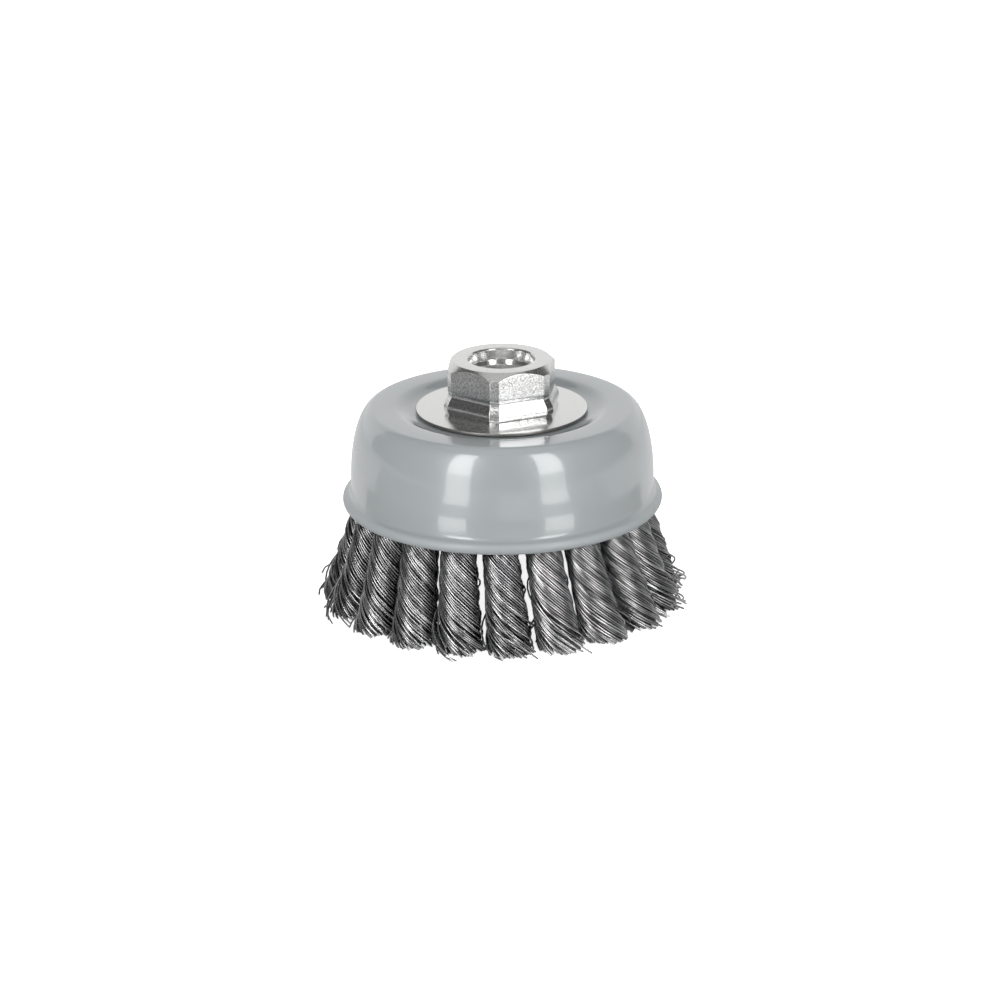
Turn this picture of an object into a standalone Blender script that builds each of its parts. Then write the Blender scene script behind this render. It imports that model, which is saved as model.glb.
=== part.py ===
"""Twisted-knot wire cup brush for an angle grinder, standing on its wire tips.

The origin is the centre of the circle on which the tips stand, and +Z is the spindle axis. A pressed
cup carries twenty twisted wire knots, held by their hairpin loops in a dished plate. The nut's spigot
passes through washer, cup and plate, and its end is rolled over below the plate into a collar.
"""
import math

import bmesh
import bpy
from mathutils import Matrix, Vector

MM = 0.001

# Clearances between neighbouring pieces
SEAT_GAP = 0.3 * MM          # between two pieces that rest on each other
KNOT_SIDE_ROOM = 2.3 * MM    # between a folded knot and the wall of the cup
KNOT_FLARE = 0.75 * MM       # how far a knot stands out past the inside of the wall at the rim
LOOP_ROOM = 1.2 * MM         # between a hairpin loop and the crown of the cup
KNOT_ROOM = 1.1 * MM         # between two knots where they leave the cup
TIP_ROOM = 0.8 * MM          # between the splayed ends of two knots

# Wire knots
KNOT_COUNT = 20
LEG_SHARE = 0.6              # one of the two legs of the folded bundle, against the knot's width
LEG_MARGIN = 0.8 * MM        # twisted bundle beyond its two legs, where they part
TRIM_LENGTH = 26.3 * MM      # height of the cup's rim above the wire tips
FLARE_ANGLE = math.radians(15.5)
TIP_LEAN = math.radians(3.8)     # tips swept round the axis, towards +X at the front
LAY_PITCH = 37.0 * MM        # height of one full turn of the left-hand twist
KNOT_STRANDS = 7
KNOT_SPACING = 1.2           # sections crowd towards the splayed tips
STRAND_DEPTH = 0.11          # groove between two strands, as a share of the knot's radius
SPLAY_POWER = 1.2
FIRST_KNOT_ANGLE = math.radians(-91.2)

# Cup
SHEET = 1.2 * MM
CUP_DEPTH = 26.8 * MM        # from the bottom of the rim to the crown
RIM_RADIUS = 42.65 * MM
RIM_WIDTH = 2.25 * MM        # how far the rolled rim stands out from the wall
BEAD_RADIUS = 1.6 * MM
BEAD_FILLET = 1.2 * MM
WALL_HEIGHT = 3.35 * MM      # straight wall between the rim's fillet and the shoulder
SHOULDER_WIDTH = 6.2 * MM
SEAT_DEPTH = 1.5 * MM        # washer seat below the crown
SEAT_MARGIN = 1.0 * MM       # seat beyond the washer's edge
SEAT_BLEND_SHARE = 0.28      # slope from seat to crown, as a share of the way from nut to shoulder

# Washer
WASHER_SHARE = 0.374         # edge of the washer, as a share of the way from nut to shoulder
WASHER_THICKNESS = 0.8 * MM

# Nut, spigot and rolled collar
NUT_ACROSS_FLATS = 27.0 * MM
NUT_CORNER_TRIM = 0.7 * MM       # cut from each corner, which leaves a narrow facet
NUT_HEIGHT = 13.1 * MM
NUT_FACE_INSET = 0.5 * MM        # from the flats in to the edge of the top face
NUT_CHAMFER_ANGLE = math.radians(44.0)
NUT_CORNER_ANGLE = math.radians(-97.2)
# Share of the nut's height and width against its upper body, for each section of the forged waist
NUT_WAIST = ((0.0, 1.045), (0.046, 1.068), (0.168, 1.068), (0.252, 1.035), (0.351, 0.99), (0.473, 1.0))
BORE_RADIUS = 6.8 * MM
COUNTERBORE_WIDTH = 2.0 * MM
COUNTERBORE_DEPTH = 3.2 * MM
BORE_CHAMFER = 0.5 * MM
LEDGE_DROP = 1.0 * MM        # conical step from the counterbore down to the thread
SPIGOT_WALL = 3.2 * MM
COLLAR_WIDTH = 2.7 * MM
COLLAR_THICKNESS = 2.0 * MM
CUT_MARGIN = 1.0 * MM        # how far a cutting tool runs past the face that it cuts

# Plate that holds the knots
PLATE_THICKNESS = 1.5 * MM
PLATE_WEB = 1.8 * MM         # metal between a hole and the plate's edge
PLATE_LEDGE = 0.7 * MM       # flat metal between the plate's cone and its holes

# Facets
CUP_FACETS = 40
NUT_FACETS = 32
LOOP_FACETS = 6
HOLE_FACETS = 8
SMOOTH_ANGLE = math.radians(35.0)

# Nut and spigot
NUT_CORNER_RADIUS = NUT_ACROSS_FLATS / math.sqrt(3)
NUT_FOOT_RADIUS = (NUT_CORNER_RADIUS - NUT_CORNER_TRIM) * max(width for _, width in NUT_WAIST)
NUT_FACE_RADIUS = NUT_ACROSS_FLATS / 2 - NUT_FACE_INSET
COUNTERBORE_RADIUS = BORE_RADIUS + COUNTERBORE_WIDTH
SPIGOT_RADIUS = BORE_RADIUS + SPIGOT_WALL
SPIGOT_HOLE_RADIUS = SPIGOT_RADIUS + SEAT_GAP
COLLAR_RADIUS = SPIGOT_RADIUS + COLLAR_WIDTH

# Cup, washer and knots, which follow from the rim
WALL_RADIUS = RIM_RADIUS - RIM_WIDTH
CUP_INSIDE_RADIUS = WALL_RADIUS - SHEET
CROWN_EDGE_RADIUS = WALL_RADIUS - SHOULDER_WIDTH
CROWN_REACH = CROWN_EDGE_RADIUS - NUT_FOOT_RADIUS
WASHER_RADIUS = NUT_FOOT_RADIUS + CROWN_REACH * WASHER_SHARE
SEAT_RADIUS = WASHER_RADIUS + SEAT_MARGIN
SEAT_BLEND = CROWN_REACH * SEAT_BLEND_SHARE
MOUTH_RADIUS = RIM_RADIUS - BEAD_RADIUS
KNOT_PITCH = math.tau / KNOT_COUNT           # angle from one knot to the next
KNOT_STRETCH = 1 / math.cos(FLARE_ANGLE)     # a level section of a sloping knot is longer outwards
KNOT_REACH = CUP_INSIDE_RADIUS + KNOT_FLARE  # outer side of the knots where they leave the cup
KNOT_DIAMETER = (KNOT_REACH * KNOT_PITCH - KNOT_ROOM) / (1 + KNOT_STRETCH * KNOT_PITCH / 2)
RIM_AXIS_RADIUS = KNOT_REACH - KNOT_DIAMETER / 2 * KNOT_STRETCH
TIP_CIRCLE_RADIUS = RIM_AXIS_RADIUS + TRIM_LENGTH * math.tan(FLARE_ANGLE)
TIP_DIAMETER = TIP_CIRCLE_RADIUS * KNOT_PITCH - TIP_ROOM

# Legs, loops and the plate between them
LEG_DIAMETER = KNOT_DIAMETER * LEG_SHARE
HOLE_RADIUS = LEG_DIAMETER / 2 + SEAT_GAP
PLATE_RADIUS = CUP_INSIDE_RADIUS - KNOT_SIDE_ROOM - LEG_DIAMETER - SEAT_GAP
INNER_LEG_RADIUS = PLATE_RADIUS - PLATE_WEB - HOLE_RADIUS
OUTER_LEG_RADIUS = PLATE_RADIUS + SEAT_GAP + LEG_DIAMETER / 2
LOOP_RADIUS = (OUTER_LEG_RADIUS - INNER_LEG_RADIUS) / 2
LOOP_CENTRE_RADIUS = (OUTER_LEG_RADIUS + INNER_LEG_RADIUS) / 2
PLATE_FLANGE_RADIUS = INNER_LEG_RADIUS - HOLE_RADIUS - PLATE_LEDGE
PLATE_HUB_RADIUS = (COLLAR_RADIUS + PLATE_FLANGE_RADIUS) / 2

# Heights above the wire tips
CROWN_Z = TRIM_LENGTH + CUP_DEPTH
SEAT_Z = CROWN_Z - SEAT_DEPTH
WASHER_Z = SEAT_Z + SEAT_GAP
FOOT_Z = WASHER_Z + WASHER_THICKNESS + SEAT_GAP
NUT_TOP_Z = FOOT_Z + NUT_HEIGHT
HUB_Z = SEAT_Z - SHEET - SEAT_GAP
COLLAR_Z = HUB_Z - PLATE_THICKNESS - SEAT_GAP
SPIGOT_END_Z = COLLAR_Z - COLLAR_THICKNESS
BEAD_Z = TRIM_LENGTH + BEAD_RADIUS
FILLET_REACH = WALL_RADIUS + BEAD_FILLET - MOUTH_RADIUS
FILLET_RISE = math.sqrt((BEAD_RADIUS + BEAD_FILLET) ** 2 - FILLET_REACH ** 2)
SHOULDER_Z = BEAD_Z + FILLET_RISE + WALL_HEIGHT
LOOP_CENTRE_Z = CROWN_Z - SHEET - LOOP_ROOM - LOOP_RADIUS - LEG_DIAMETER / 2
FLANGE_Z = LOOP_CENTRE_Z - SEAT_GAP
KNOT_TOP_Z = FLANGE_Z - PLATE_THICKNESS - SEAT_GAP - LEG_DIAMETER / 4
SPREAD_Z = BEAD_Z + BEAD_RADIUS              # above this a knot spreads into its two legs


def clear_scene():
    """Remove every object that the scene starts with."""
    for old in list(bpy.data.objects):
        bpy.data.objects.remove(old, do_unlink=True)


def make_material(name, colour, roughness, metallic):
    """Return a Principled material with one colour."""
    material = bpy.data.materials.new(name)
    material.use_nodes = True
    shader = material.node_tree.nodes["Principled BSDF"]
    shader.inputs["Base Color"].default_value = (*colour, 1.0)
    shader.inputs["Roughness"].default_value = roughness
    shader.inputs["Metallic"].default_value = metallic
    return material


def mesh_from(bm, name, material):
    """Turn a bmesh into a shaded mesh with its material."""
    bmesh.ops.recalc_face_normals(bm, faces=bm.faces)
    mesh = bpy.data.meshes.new(name)
    bm.to_mesh(mesh)
    bm.free()
    mesh.materials.append(material)
    mesh.shade_smooth()
    mesh.set_sharp_from_angle(angle=SMOOTH_ANGLE)
    return mesh


def add_object(name, mesh, parent=None):
    """Link a named object that shows the mesh."""
    obj = bpy.data.objects.new(name, mesh)
    bpy.context.scene.collection.objects.link(obj)
    obj.parent = parent
    return obj


def as_tool(obj):
    """Mark an object as a cutter or guide, which is no part of the brush."""
    obj.hide_render = True
    obj.display_type = "WIRE"
    return obj


def add_boolean(obj, tool, operation):
    """Combine an object with a tool by an exact Boolean."""
    modifier = obj.modifiers.new(tool.name, "BOOLEAN")
    modifier.operation = operation
    modifier.solver = "EXACT"
    modifier.object = tool


def arc(centre, radii, start, end, steps):
    """Points of an elliptic arc in the radius and height plane, both ends included."""
    angles = [start + (end - start) * step / steps for step in range(steps + 1)]
    return [(centre[0] + radii[0] * math.cos(a), centre[1] + radii[1] * math.sin(a)) for a in angles]


def smooth_step(share):
    """Ease a share from 0 to 1 with level ends."""
    share = min(max(share, 0.0), 1.0)
    return share * share * (3 - 2 * share)


def offset_line(points, distance):
    """Shift a line to its right by a distance, with mitred corners."""
    path = [Vector(point) for point in points]
    normals = []
    for here, there in zip(path, path[1:]):
        along = (there - here).normalized()
        normals.append(Vector((along.y, -along.x)))
    shifted = []
    for index, point in enumerate(path):
        before = normals[max(index - 1, 0)]
        after = normals[min(index, len(normals) - 1)]
        middle = (before + after).normalized()
        shifted.append(tuple(point + middle * (distance / middle.dot(after))))
    return shifted


def turned(name, outline, facets, material):
    """Revolve a closed outline of (radius, height) points about the spindle axis."""
    bm = bmesh.new()
    verts = [bm.verts.new((radius, 0.0, height)) for radius, height in outline]
    edges = [bm.edges.new((verts[i - 1], verts[i])) for i in range(len(verts))]
    bmesh.ops.spin(bm, geom=verts + edges, cent=(0, 0, 0), axis=(0, 0, 1),
                   angle=math.tau, steps=facets, use_merge=True, use_duplicate=False)
    bmesh.ops.remove_doubles(bm, verts=bm.verts, dist=0.001 * MM)
    return mesh_from(bm, name, material)


def swept(name, frames, sides, material, groove=0.0):
    """Extrude a unit circle through a row of frames and close both ends.

    Every second corner is drawn in by the groove, which makes strands of the corners between.
    """
    bm = bmesh.new()
    ring = bmesh.ops.create_circle(bm, cap_ends=False, radius=1.0, segments=sides)["verts"]
    bmesh.ops.scale(bm, vec=(1 - groove, 1 - groove, 1), verts=ring[1::2])
    bmesh.ops.transform(bm, matrix=frames[0], verts=ring)
    edges = list(bm.edges)
    for before, after in zip(frames, frames[1:]):
        grown = bmesh.ops.extrude_edge_only(bm, edges=edges)["geom"]
        edges = [item for item in grown if isinstance(item, bmesh.types.BMEdge)]
        ring = [item for item in grown if isinstance(item, bmesh.types.BMVert)]
        bmesh.ops.transform(bm, matrix=after @ before.inverted(), verts=ring)
    bmesh.ops.holes_fill(bm, edges=[edge for edge in bm.edges if edge.is_boundary], sides=0)
    bmesh.ops.triangulate(bm, faces=bm.faces, quad_method="SHORT_EDGE", ngon_method="BEAUTY")
    return mesh_from(bm, name, material)


def cup_outline():
    """Outline of the cup: its outer line from hub to lip, and back along the inside."""
    blend_steps = 3
    outer = [(SPIGOT_HOLE_RADIUS, SEAT_Z)]
    for step in range(blend_steps + 1):
        share = step / blend_steps
        outer.append((SEAT_RADIUS + SEAT_BLEND * share, SEAT_Z + SEAT_DEPTH * smooth_step(share)))
    outer += arc((CROWN_EDGE_RADIUS, SHOULDER_Z), (SHOULDER_WIDTH, CROWN_Z - SHOULDER_Z),
                 math.pi / 2, 0.0, 6)
    meeting = math.atan2(FILLET_RISE, FILLET_REACH)
    outer += arc((WALL_RADIUS + BEAD_FILLET, BEAD_Z + FILLET_RISE), (BEAD_FILLET, BEAD_FILLET),
                 math.pi, math.pi + meeting, 2)
    outer += arc((MOUTH_RADIUS, BEAD_Z), (BEAD_RADIUS, BEAD_RADIUS), meeting, -math.pi / 2, 5)[1:]
    inner = offset_line(outer, SHEET)
    inner = [inner[0], *inner[1:-1:2], inner[-1]]
    return outer + inner[::-1]


def washer_outline():
    """Outline of the flat washer under the nut."""
    top = WASHER_Z + WASHER_THICKNESS
    return [(SPIGOT_HOLE_RADIUS, WASHER_Z), (SPIGOT_HOLE_RADIUS, top),
            (WASHER_RADIUS, top), (WASHER_RADIUS, WASHER_Z)]


def plate_outline():
    """Outline of the dished plate: hub under the cup, cone, and flange for the knots."""
    top = [(SPIGOT_HOLE_RADIUS, HUB_Z), (PLATE_HUB_RADIUS, HUB_Z),
           (PLATE_FLANGE_RADIUS, FLANGE_Z), (PLATE_RADIUS, FLANGE_Z)]
    return top + offset_line(top, PLATE_THICKNESS)[::-1]


def spigot_outline():
    """Outline of the spigot below the nut, with its end rolled over into a collar."""
    core = BORE_RADIUS - CUT_MARGIN
    round_off = COLLAR_THICKNESS / 2
    edge = arc((COLLAR_RADIUS - round_off, COLLAR_Z - round_off), (round_off, round_off),
               math.pi / 2, -math.pi / 2, 4)
    return [(core, FOOT_Z + CUT_MARGIN), (SPIGOT_RADIUS, FOOT_Z + CUT_MARGIN),
            (SPIGOT_RADIUS, COLLAR_Z), *edge, (core, SPIGOT_END_Z)]


def bore_outline():
    """Outline of the cutter for counterbore and bore."""
    step_z = NUT_TOP_Z - COUNTERBORE_DEPTH
    mouth = COUNTERBORE_RADIUS + BORE_CHAMFER + CUT_MARGIN
    return [(0.0, NUT_TOP_Z + CUT_MARGIN), (mouth, NUT_TOP_Z + CUT_MARGIN),
            (COUNTERBORE_RADIUS, NUT_TOP_Z - BORE_CHAMFER), (COUNTERBORE_RADIUS, step_z),
            (BORE_RADIUS, step_z - LEDGE_DROP), (BORE_RADIUS, SPIGOT_END_Z - CUT_MARGIN),
            (0.0, SPIGOT_END_Z - CUT_MARGIN)]


def chamfer_outline():
    """Outline of the turned blank that the hexagon is trimmed to: a flat face and a cone below it."""
    wide = NUT_FOOT_RADIUS + CUT_MARGIN
    drop = (wide - NUT_FACE_RADIUS) * math.tan(NUT_CHAMFER_ANGLE)
    return [(0.0, NUT_TOP_Z), (NUT_FACE_RADIUS, NUT_TOP_Z), (wide, NUT_TOP_Z - drop),
            (wide, FOOT_Z - CUT_MARGIN), (0.0, FOOT_Z - CUT_MARGIN)]


def hexagon_mesh(material):
    """Hexagon bar with narrow corner facets, a flared foot and a forged waist."""
    bm = bmesh.new()
    turn = Matrix.Rotation(NUT_CORNER_ANGLE - math.pi / 2, 4, "Z")
    bmesh.ops.create_circle(bm, cap_ends=False, radius=NUT_CORNER_RADIUS, segments=6, matrix=turn)
    bmesh.ops.bevel(bm, geom=list(bm.verts), offset=2 * NUT_CORNER_TRIM, offset_type="OFFSET",
                    affect="VERTICES", segments=1, profile=0.5, material=-1)
    ring = list(bm.verts)
    edges = list(bm.edges)
    sections = [(NUT_HEIGHT * share, width) for share, width in NUT_WAIST]
    sections.append((NUT_HEIGHT + CUT_MARGIN, NUT_WAIST[-1][1]))
    last_height, last_width = sections[0]
    start = Matrix.Translation((0, 0, FOOT_Z)) @ Matrix.Diagonal((last_width, last_width, 1, 1))
    bmesh.ops.transform(bm, matrix=start, verts=ring)
    for height, width in sections[1:]:
        grown = bmesh.ops.extrude_edge_only(bm, edges=edges)["geom"]
        edges = [item for item in grown if isinstance(item, bmesh.types.BMEdge)]
        ring = [item for item in grown if isinstance(item, bmesh.types.BMVert)]
        bmesh.ops.scale(bm, vec=(width / last_width, width / last_width, 1), verts=ring)
        bmesh.ops.translate(bm, vec=(0, 0, height - last_height), verts=ring)
        last_height, last_width = height, width
    bmesh.ops.holes_fill(bm, edges=[edge for edge in bm.edges if edge.is_boundary], sides=0)
    return mesh_from(bm, "hexagon", material)


def knot_axis(height):
    """Radius and turn of a knot's middle line at a height."""
    if height <= TRIM_LENGTH:
        share = 1 - height / TRIM_LENGTH
        radius = RIM_AXIS_RADIUS + (TIP_CIRCLE_RADIUS - RIM_AXIS_RADIUS) * share
        return radius, TIP_LEAN * share
    share = (height - TRIM_LENGTH) / (KNOT_TOP_Z - TRIM_LENGTH)
    return RIM_AXIS_RADIUS + (LOOP_CENTRE_RADIUS - RIM_AXIS_RADIUS) * share, 0.0


def knot_widths(height):
    """Half widths of a knot at a height, away from the axis and round it."""
    splay = max(1 - height / TRIM_LENGTH, 0.0) ** SPLAY_POWER
    half = (KNOT_DIAMETER + (TIP_DIAMETER - KNOT_DIAMETER) * splay) / 2
    spread = smooth_step((height - SPREAD_Z) / (KNOT_TOP_Z - SPREAD_Z))
    outwards = half * KNOT_STRETCH
    leg = LEG_DIAMETER / 2 + LEG_MARGIN
    return outwards + (LOOP_RADIUS + leg - outwards) * spread, half + (leg - half) * spread


def knot_frames():
    """Level frames up the twisted part of a knot, from its trimmed tips to its two legs."""
    steps = 10
    frames = []
    for step in range(steps + 1):
        height = KNOT_TOP_Z * (step / steps) ** KNOT_SPACING
        radius, turn = knot_axis(height)
        outwards, sideways = knot_widths(height)
        place = Matrix.Rotation(turn, 4, "Z") @ Matrix.Translation((radius, 0, height))
        twist = Matrix.Rotation(-math.tau * height / LAY_PITCH, 4, "Z")
        frames.append(place @ Matrix.Diagonal((outwards, sideways, 1, 1)) @ twist)
    return frames


def loop_frames():
    """Frames along the hairpin loop, up through the plate's hole and round its edge."""
    centre = (LOOP_CENTRE_RADIUS, LOOP_CENTRE_Z)
    root = LOOP_RADIUS - LEG_DIAMETER / 3
    root_z = KNOT_TOP_Z - LEG_DIAMETER / 2
    route = [(centre[0] + root, root_z), (OUTER_LEG_RADIUS, FLANGE_Z - PLATE_THICKNESS - SEAT_GAP)]
    route += arc(centre, (LOOP_RADIUS, LOOP_RADIUS), 0.0, math.pi, 3)
    route += [(INNER_LEG_RADIUS, FLANGE_Z - PLATE_THICKNESS - SEAT_GAP), (centre[0] - root, root_z)]
    points = [Vector((radius, 0, height)) for radius, height in route]
    frames = []
    for index, point in enumerate(points):
        ahead = points[min(index + 1, len(points) - 1)]
        along = (ahead - points[max(index - 1, 0)]).normalized()
        side = Vector((0, 1, 0))
        basis = Matrix((side, along.cross(side), along)).transposed().to_4x4()
        size = Matrix.Diagonal((LEG_DIAMETER / 2, LEG_DIAMETER / 2, 1, 1))
        frames.append(Matrix.Translation(point) @ basis @ size)
    return frames


def knot_mesh(material):
    """One knot with its hairpin loop, as a single mesh that all twenty knots share."""
    twisted = add_object("twisted", swept("twisted", knot_frames(), 2 * KNOT_STRANDS, material, STRAND_DEPTH))
    loop = as_tool(add_object("loop", swept("loop", loop_frames(), LOOP_FACETS, material)))
    add_boolean(twisted, loop, "UNION")
    shown = twisted.evaluated_get(bpy.context.evaluated_depsgraph_get())
    mesh = bpy.data.meshes.new_from_object(shown)
    mesh.name = "wire_knot"
    for draft in (twisted, loop):
        bpy.data.objects.remove(draft, do_unlink=True)
    return mesh


def hole_cutter(material):
    """One round tool for each knot's hole in the plate."""
    bm = bmesh.new()
    depth = PLATE_THICKNESS + 2 * CUT_MARGIN
    for index in range(KNOT_COUNT):
        spin = Matrix.Rotation(knot_angle(index), 4, "Z")
        place = Matrix.Translation((INNER_LEG_RADIUS, 0, FLANGE_Z - PLATE_THICKNESS / 2))
        bmesh.ops.create_cone(bm, cap_ends=True, segments=HOLE_FACETS, radius1=HOLE_RADIUS,
                              radius2=HOLE_RADIUS, depth=depth, matrix=spin @ place)
    return mesh_from(bm, "knot_holes", material)


def knot_angle(index):
    """Angle of one knot about the spindle axis."""
    return FIRST_KNOT_ANGLE + KNOT_PITCH * index


def build_nut(steel, parent):
    """Nut, spigot and collar, which are one piece of steel."""
    nut = add_object("arbor_nut", hexagon_mesh(steel), parent)
    tools = (("chamfer_tool", chamfer_outline(), "INTERSECT"),
             ("spigot_tool", spigot_outline(), "UNION"),
             ("bore_tool", bore_outline(), "DIFFERENCE"))
    for name, outline, operation in tools:
        tool = as_tool(add_object(name, turned(name, outline, NUT_FACETS, steel), parent))
        add_boolean(nut, tool, operation)


def build_plate(steel, parent):
    """Dished plate with a hole for the inner leg of each knot."""
    plate = add_object("knot_plate", turned("knot_plate", plate_outline(), CUP_FACETS, steel), parent)
    add_boolean(plate, as_tool(add_object("hole_tool", hole_cutter(steel), parent)), "DIFFERENCE")


def build_knots(wire, parent):
    """Twenty twisted knots round the cup, each turned to its own place."""
    mesh = knot_mesh(wire)
    for index in range(KNOT_COUNT):
        knot = add_object(f"knot_{index + 1:02d}", mesh, parent)
        knot.rotation_euler = (0.0, 0.0, knot_angle(index))


def build_brush():
    """Build the whole brush under one empty on its spindle axis."""
    clear_scene()
    paint = make_material("grey_paint", (0.38, 0.41, 0.42), 0.25, 0.0)
    plated = make_material("plated_steel", (0.78, 0.78, 0.77), 0.25, 1.0)
    plain = make_material("plate_steel", (0.45, 0.45, 0.46), 0.45, 1.0)
    wire = make_material("wire_steel", (0.27, 0.27, 0.28), 0.35, 1.0)
    spindle = add_object("spindle_axis", None)
    add_object("cup_shell", turned("cup_shell", cup_outline(), CUP_FACETS, paint), spindle)
    add_object("flange_washer", turned("flange_washer", washer_outline(), CUP_FACETS, plated), spindle)
    build_nut(plated, spindle)
    build_plate(plain, spindle)
    build_knots(wire, spindle)


build_brush()
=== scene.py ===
"""Looks of the twisted-knot wire cup brush: painted cup, plated nut and washer, and loose wire knots."""

import logging
from dataclasses import dataclass, field
from enum import Enum
from math import atan2, cos, hypot, pi, radians, sin, sqrt, tan, tau

import bmesh
import bpy
import numpy as np
from bmesh.types import BMEdge, BMesh, BMFace, BMVert
from bpy.types import ID, Curve, Material, Mesh, Node, NodeOutputs, NodeSocket, NodeTree, Object
from mathutils import Matrix, Vector


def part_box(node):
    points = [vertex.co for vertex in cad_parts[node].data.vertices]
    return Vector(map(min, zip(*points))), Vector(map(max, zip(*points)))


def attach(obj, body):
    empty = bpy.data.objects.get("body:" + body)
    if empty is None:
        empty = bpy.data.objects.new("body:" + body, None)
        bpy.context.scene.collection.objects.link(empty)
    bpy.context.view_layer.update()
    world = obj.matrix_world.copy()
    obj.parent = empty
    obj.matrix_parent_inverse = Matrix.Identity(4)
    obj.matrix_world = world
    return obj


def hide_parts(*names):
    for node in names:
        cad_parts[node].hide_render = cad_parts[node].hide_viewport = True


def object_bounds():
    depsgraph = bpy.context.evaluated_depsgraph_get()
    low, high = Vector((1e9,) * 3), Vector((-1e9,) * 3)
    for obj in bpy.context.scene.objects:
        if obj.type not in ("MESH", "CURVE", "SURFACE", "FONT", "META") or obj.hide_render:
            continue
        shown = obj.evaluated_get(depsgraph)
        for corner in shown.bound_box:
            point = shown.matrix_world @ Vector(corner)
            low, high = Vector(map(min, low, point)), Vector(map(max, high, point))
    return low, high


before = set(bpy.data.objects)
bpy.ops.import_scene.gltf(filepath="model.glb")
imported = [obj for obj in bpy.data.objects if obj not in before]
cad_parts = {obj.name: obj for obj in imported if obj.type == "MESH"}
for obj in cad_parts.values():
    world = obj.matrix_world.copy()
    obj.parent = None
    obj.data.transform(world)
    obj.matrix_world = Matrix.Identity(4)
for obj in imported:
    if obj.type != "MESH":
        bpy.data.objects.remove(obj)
CAD_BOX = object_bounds()

MM = 0.001
BODY = "root"
FIRST_KNOT_ANGLE = radians(-91.2)
SEAT_GAP = 0.3 * MM
SHARP_ANGLE = radians(24)
WELD_DISTANCE = 0.001 * MM
# Each wire's tone: random on the outer wires, painted shade on the inner wires and the core.
WIRE_TONE_AND_SHADE = "wire_tone_and_shade"
WHITE = (1.0, 1.0, 1.0, 1.0)

LOG = logging.getLogger("wire_cup_brush")

Colour = tuple[float, float, float]
Inputs = dict[str | int, object]
Span = tuple[float, float]
Outline = list[Span]


class Slot(Enum):
    """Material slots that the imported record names."""

    PAINT = "grey_paint"
    PLATED = "plated_steel"
    PLATE = "plate_steel"
    WIRE = "wire_steel"


class Cut(Enum):
    """Ways to combine a solid with a tool."""

    KEEP_INSIDE = "INTERSECT"
    JOIN = "UNION"
    REMOVE = "DIFFERENCE"


def box_size(node: str) -> tuple[float, float, float]:
    """Outer radius, lowest height and highest height of a turned CAD node."""
    low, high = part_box(node)
    return (high.x - low.x) / 2, low.z, high.z


# Shader helpers


def feed(tree: NodeTree, node: Node, inputs: Inputs) -> None:
    """Give a node its inputs.

    Args:
        tree: The tree that holds the node.
        node: The node.
        inputs: For each input, a plain value or the output that drives it.
    """
    for key, value in inputs.items():
        if isinstance(value, NodeSocket):
            tree.links.new(value, node.inputs[key])
        else:
            node.inputs[key].default_value = value


def add_node(tree: NodeTree, kind: str, inputs: Inputs | None = None, **settings: object) -> Node:
    """Add a node to a tree.

    Args:
        tree: Material tree or group.
        kind: Node type name, after its "ShaderNode" start.
        inputs: Its inputs, as plain values or the outputs that drive them.
        settings: Properties to set first.

    Returns:
        The new node.
    """
    node = tree.nodes.new(f"ShaderNode{kind}")
    for key, value in settings.items():
        setattr(node, key, value)
    feed(tree, node, inputs or {})
    return node


def camera_sees(tree: NodeTree) -> NodeSocket:
    """Mask of the rays that the camera sees the scene by."""
    rays = add_node(tree, "LightPath").outputs
    return add_node(tree, "Math", {0: rays["Is Camera Ray"], 1: rays["Is Transmission Ray"]},
                    operation="MAXIMUM").outputs["Value"]


def open_group(name: str, output: str, **inputs: float) -> tuple[NodeTree, NodeOutputs]:
    """Start a shader node group.

    Args:
        name: Name of the group.
        output: Name of its only output.
        inputs: Names and default values of its inputs.

    Returns:
        The group, and the sockets that give its inputs.
    """
    tree = bpy.data.node_groups.new(name, "ShaderNodeTree")
    for label, value in inputs.items():
        socket = tree.interface.new_socket(label, in_out="INPUT", socket_type="NodeSocketFloat")
        socket.default_value = value
    tree.interface.new_socket(output, in_out="OUTPUT", socket_type="NodeSocketFloat")
    return tree, tree.nodes.new("NodeGroupInput").outputs


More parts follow.
